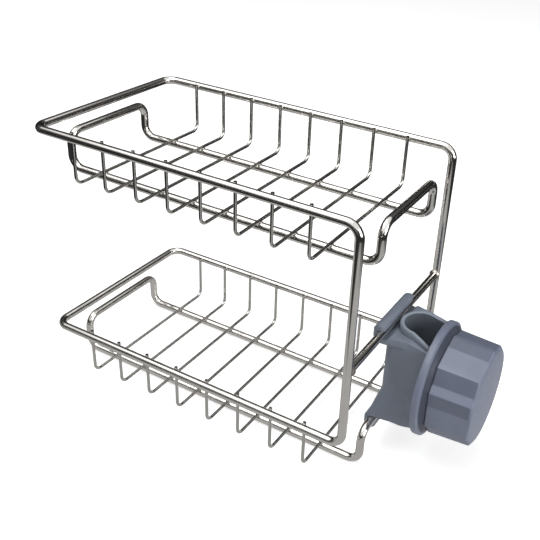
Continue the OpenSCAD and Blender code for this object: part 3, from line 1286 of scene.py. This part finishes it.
@dataclass
class Knob:
    """The nut shaped knob, turned round the X axis, with flats round its grip."""

    look: Finishes
    start_x: float = 9.6
    flange_r: float = 31.3
    grip_r: float = 28.0
    end_r: float = 27.0
    length: float = 31.0
    bore_r: float = 22.9
    floor_x: float = 26.4
    boss_r: float = 9.0
    boss_x: float = 7.6
    hole_r: float = 5.08
    hole_x: float = 27.6
    groups: int = 5
    first_ridge: float = 132.3
    shares: tuple[float, ...] = (0.0, 0.25, 0.389, 0.604)
    valley: float = 1.6
    corner: float = 0.5
    inner_skin: float = 0.5
    # Painted shade: its share on two flats of each group and how far past the cap's edge it
    # reaches; the groove numbers place the painted shade beside the flange.
    painted_flat_shade: float = 0.46
    flat_shade_over: float = 0.2
    groove_start: float = 3.6
    groove_entry: float = 0.8
    groove_exit: float = 0.2
    groove_end: float = 7.0
    grip_x: float = 7.2
    cap_depth: float = 2.9
    grip_steps: int = 8

    def outline(self) -> list[Plan]:
        """The grip's cross section: flats with softly rounded corners.

        Returns:
            Points round the section, at the grip's largest radius.
        """
        corners: list[Vector] = []
        for g in range(self.groups):
            for j, share in enumerate(self.shares):
                turn = math.radians(self.first_ridge + 360 / self.groups * (g + share))
                r = self.grip_r - (j % 2) * self.valley
                corners.append(Vector((r * math.cos(turn), r * math.sin(turn))))
        points: list[Vector] = []
        for i, here in enumerate(corners):
            following = corners[(i + 1) % len(corners)]
            start = here + (corners[i - 1] - here).normalized() * self.corner
            end = here + (following - here).normalized() * self.corner
            rest = following - (following - here).normalized() * self.corner
            for t in (0, *QUARTERS, 1):
                points.append(start * (1 - t) ** 2 + here * 2 * t * (1 - t) + end * t * t)
            points += [end.lerp(rest, t) for t in QUARTERS]
        return [(p.x, p.y) for p in points]

    def profile(self) -> list[tuple[float, float, float]]:
        """The knob's profile, as place along X, radius, and share of the flats.

        Returns:
            The profile from the hole's floor round the outside to the end's middle.
        """
        f, g, e, n, flat = self.flange_r, self.grip_r, self.end_r, self.length, self.grip_x
        hole, boss, bore, floor, near = (
            self.hole_r, self.boss_r, self.bore_r, self.floor_x, self.boss_x
        )
        inside = [
            (self.hole_x, 0.0), (self.hole_x, hole), (near + 0.4, hole), (near, hole + 0.4),
            (near, boss - 0.4), (near + 0.4, boss), (floor - 0.6, boss), (floor, boss + 0.6),
            (floor, bore - 1.0), (floor - 1.0, bore), (0.7, bore), (0.0, bore + 0.7),
        ]
        flange = [
            (0.0, f - 0.7), (0.1, f - 0.3), (0.3, f - 0.08), (0.6, f), (3.1, f), (3.4, f - 0.1),
            (3.6, f - 0.35), (3.75, f - 0.8), (4.0, f - 1.9), (4.6, f - 2.7),
        ]
        groove = [(5.5, g - 0.1, 0.1), (6.0, g - 0.42, 0.5), (6.3, g - 0.5, 0.8)]
        grip = [(6.5, g - 0.35, 1.0), (6.8, g - 0.08, 1.0), (flat, g, 1.0)]
        last, steps = n - self.cap_depth, self.grip_steps
        grip += [
            (flat + (last - flat) * k / steps, g + (e - g) * k / steps, 1.0)
            for k in range(1, steps + 1)
        ]
        edge = [
            (0.5, 0.15, 0.92), (0.85, 0.5, 0.75), (1.1, 1.0, 0.5), (1.28, 1.7, 0.2),
            (1.42, 2.5, 0.0), (1.6, 3.8, 0.0), (1.85, 5.8, 0.0), (2.15, 8.6, 0.0),
            (2.5, e * 0.5, 0.0), (2.78, e * 0.75, 0.0),
        ]
        cap = [(last + x, e - drop, share) for x, drop, share in edge] + [(n, 0.0, 0.0)]
        return [(x, r, 0.0) for x, r in inside + flange] + groove + grip + cap

    def depth(self, spot: Point) -> float:
        """The painted shade at a point: 1 in the groove beside the flange, and some on two flats of
        each group.

        Args:
            spot: The point, in millimetres.

        Returns:
            The share.
        """
        x, y, z = spot
        along = x - self.start_x
        if math.hypot(y, z) < self.bore_r + self.inner_skin:
            return 0.0
        if along < self.groove_end:
            entry = clamped((along - self.groove_start) / self.groove_entry)
            return entry * clamped((self.groove_end - along) / self.groove_exit)
        # Painted shade on two of the four flats of each group, up to the cap.
        turn = (math.degrees(math.atan2(z, y)) - self.first_ridge) * self.groups / 360 % 1.0
        painted_flat_shade = turn < self.shares[1] or self.shares[2] < turn < self.shares[3]
        is_flat = along < self.length - self.cap_depth + self.flat_shade_over
        return self.painted_flat_shade if painted_flat_shade and is_flat else 0.0

    def build(self) -> None:
        """Builds the knob."""
        flats = self.outline()
        rings: list[list[Point]] = []
        for x, r, share in self.profile():
            leans = [r / self.grip_r * share + r / math.hypot(u, v) * (1 - share) for u, v in flats]
            rings.append([
                (self.start_x + x, u * lean, v * lean) for (u, v), lean in zip(flats, leans)
            ])
        made = ringed("knob_grip", rings)
        # Paints shade in the groove beside the flange and on two flats of each group.
        paint_crevice_shade(made, self.depth)
        finished(smoothed(made, degrees=32), self.look.knob, Body.KNOB, Slot.KNOB, "knob")


# ---- studio


@dataclass
class PhotoCamera:
    """The photograph's camera, worked out from the straight wires."""

    place: Point = (0.10651, -0.32325, 0.25486)
    turn: float = 27.6272
    height: float = 28.6179
    roll: float = 3.7002
    focal_pixels: float = 784.299
    centre: Plan = (320.0, 245.0)

    def build(self) -> None:
        """Creates the camera and makes it the scene's."""
        matrix = Matrix.Translation(self.place)
        for degrees, axis in ((self.turn, "Z"), (90 - self.height, "X"), (self.roll, "Z")):
            matrix @= Matrix.Rotation(math.radians(degrees), 4, axis)
        lens = bpy.data.cameras.new("photo_camera")
        lens.sensor_fit = "HORIZONTAL"
        lens.sensor_width = 36.0
        lens.lens = self.focal_pixels / PHOTO_PIXELS * lens.sensor_width
        lens.shift_x = (PHOTO_PIXELS / 2 - self.centre[0]) / PHOTO_PIXELS
        lens.shift_y = (self.centre[1] - PHOTO_PIXELS / 2) / PHOTO_PIXELS
        lens.clip_start = 0.01
        made = linked("photo_camera", lens)
        made.matrix_world = matrix
        bpy.context.scene.camera = made


@dataclass(frozen=True)
class SoftBox:
    """A soft area lamp that looks at the object."""

    name: str
    place: Point
    size: float
    watts: float

    def build(self, target: Vector) -> None:
        """Creates the lamp.

        Args:
            target: The point that it faces.
        """
        lamp = bpy.data.lights.new(self.name, "AREA")
        lamp.shape = "SQUARE"
        lamp.size = self.size
        lamp.energy = self.watts
        made = linked(self.name, lamp)
        made.location = self.place
        made.rotation_euler = (target - Vector(self.place)).to_track_quat("-Z", "Y").to_euler()


@dataclass
class Studio:
    """A pale floor, plain soft light and the dark sides of the room that mirrors see.

    A pool of light is its middle, what its length along X is multiplied by, and its reach.
    The curtain's edges are given as their elevation in degrees, seen from the set. A stop of
    its cloth is a share of its height and how bright it is there.
    """

    middle: Point = (-0.08, 0.0, 0.03)
    floor_size: float = 6.0
    floor_colour: float = 0.84
    floor_lift: float = 0.52
    ambient: float = 0.36
    pools: tuple[tuple[float, float, float, float], ...] = (
        (-0.10, 0.0, 0.5, 0.14),
        (0.11, -0.15, 1.0, 0.12),
    )
    pool_fade: float = 0.07
    pool_glow: float = 0.46
    room_glow: float = 0.03
    curtain_radius: float = 1.5
    curtain_low: float = 1.0
    curtain_high: float = 36.0
    curtain_back: float = 14.0
    curtain_left: float = 7.0
    curtain_steps: int = 64
    cloth_stops: tuple[Plan, ...] = (
        (0.0, 0.02), (0.35, 0.02), (0.6, 0.08), (0.85, 0.14), (0.97, 0.3), (1.0, 1.0),
    )
    boxes: tuple[SoftBox, ...] = (
        SoftBox("soft_box_top", (-0.30, -0.24, 1.05), 0.9, 8.6),
        SoftBox("soft_box_right", (1.15, -0.20, 0.45), 0.8, 10.5),
    )

    def pale(self, pad: Wiring) -> Socket:
        """The floor: pale to the camera, and pools of light in a darker room to mirrors.

        Args:
            pad: The tree to add to.

        Returns:
            The shader.
        """
        path = pad.add("ShaderNodeLightPath").outputs
        grey = self.floor_colour
        matt = pad.out("ShaderNodeBsdfDiffuse", {"Color": (grey, grey, grey, 1)})
        lift = pad.calc("MULTIPLY", path["Is Camera Ray"], self.floor_lift)
        glow = pad.out("ShaderNodeEmission", {"Strength": lift})
        lit = pad.out("ShaderNodeAddShader", {0: matt, 1: glow})
        pool = pad.out("ShaderNodeEmission", {"Strength": self.pool(pad)})
        return pad.out("ShaderNodeMixShader", {0: path["Is Glossy Ray"], 1: lit, 2: pool})

    def pool(self, pad: Wiring) -> Socket:
        """How bright mirrors see the floor: light in the lamps' pools, darker away from them.

        Args:
            pad: The tree to add to.

        Returns:
            The brightness.
        """
        place = pad.place()
        glows: list[Socket] = []
        for x, y, squash, reach in self.pools:
            flat = {0: place, 1: (squash, 1, 0)}
            spot = {0: pad.out("ShaderNodeVectorMath", flat, operation="MULTIPLY")}
            spot[1] = (x * squash, y, 0)
            away = pad.out("ShaderNodeVectorMath", spot, "Value", operation="DISTANCE")
            start, end = (reach, self.pool_glow), (reach + self.pool_fade, self.room_glow)
            glows.append(pad.ramp(away, start, end, interpolation_type="SMOOTHSTEP"))
        return pad.most(glows)

    def sky(self) -> None:
        """The world: white where the camera, mirrors or glass see it, and softer as a light."""
        world = bpy.data.worlds.new("studio")
        world.use_nodes = True
        bpy.context.scene.world = world
        pad = Wiring(world.node_tree)
        path = pad.add("ShaderNodeLightPath").outputs
        seen = pad.most([path[f"Is {ray} Ray"] for ray in ("Camera", "Glossy", "Transmission")])
        light, white = (
            pad.out("ShaderNodeBackground", {"Color": (1, 1, 1, 1), "Strength": strength})
            for strength in (self.ambient, 1.0)
        )
        mixed = pad.out("ShaderNodeMixShader", {0: seen, 1: light, 2: white})
        pad.add("ShaderNodeOutputWorld", {"Surface": mixed})

    def curtain(self) -> None:
        """A dark curtain round the set that only mirrors see, under the white of the ceiling."""
        steps, radius = self.curtain_steps, self.curtain_radius
        points: list[Point] = []
        for is_top in (False, True):
            for u, v in arc(1.0, 0, math.tau, steps)[:-1]:
                top = self.curtain_high + self.curtain_back * v - self.curtain_left * u
                height = radius * math.tan(math.radians(top if is_top else self.curtain_low))
                x, y, z = self.middle
                points.append((x + radius * u, y + radius * v, z + height))
        faces = [(k, (k + 1) % steps, steps + (k + 1) % steps, steps + k) for k in range(steps)]
        mesh = bpy.data.meshes.new("dark_curtain")
        mesh.from_pydata(points, [], faces)
        share = mesh.attributes.new("rise", "FLOAT", "POINT")
        share.data.foreach_set("value", [0.0] * steps + [1.0] * steps)
        made = linked("dark_curtain", mesh)
        mesh.materials.append(painted("dark_cloth", self.cloth))
        for ray in ("camera", "diffuse", "shadow", "transmission"):
            setattr(made, "visible_" + ray, False)
        made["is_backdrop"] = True

    def cloth(self, pad: Wiring) -> Socket:
        """The curtain's finish: dark, and lighter towards its top edge.

        Args:
            pad: The tree to add to.

        Returns:
            The shader.
        """
        ramp = pad.add("ShaderNodeValToRGB", {0: pad.attribute("rise", "Fac")})
        steps = ramp.color_ramp.elements
        while len(steps) < len(self.cloth_stops):
            steps.new(0.5)
        for step, (place, light) in zip(steps, self.cloth_stops):
            step.position = place
            step.color = (light, light, light, 1)
        return pad.out("ShaderNodeEmission", {"Color": ramp.outputs["Color"]})

    def build(self, floor_z: float) -> None:
        """Builds the floor, the world, the curtain and the lamps.

        Args:
            floor_z: The height of the floor.
        """
        half = self.floor_size / 2
        corners = ((-half, -half), (half, -half), (half, half), (-half, half))
        mesh = bpy.data.meshes.new("floor")
        mesh.from_pydata([(x, y, floor_z) for x, y in corners], [], [(0, 1, 2, 3)])
        mesh.materials.append(painted("pale_floor", self.pale))
        linked("floor", mesh)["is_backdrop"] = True
        self.sky()
        for box in self.boxes:
            box.build(Vector(self.middle))
        self.curtain()


# ---- assembly


def corners_of(bounds: Iterable[Iterable[float]]) -> list[list[float]]:
    """A box as plain lists of numbers."""
    return [[float(v) for v in corner] for corner in bounds]


def main() -> None:
    """Loads the frame, measures its box, builds the sub-assemblies in order and sets the studio's
    floor at the box's bottom.
    """
    logging.basicConfig(level=logging.INFO, format="%(name)s: %(message)s")
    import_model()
    cad_box = corners_of(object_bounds())
    bpy.context.scene.view_settings.view_transform = "Standard"
    PhotoCamera().build()
    look = Finishes.mixed()
    for kind in (WireRack, Clamp, Liner, PressurePad, Knob):
        kind(look).build()
    Studio().build(cad_box[0][2])
    bpy.context.view_layer.update()


if __name__ == "__main__":
    main()
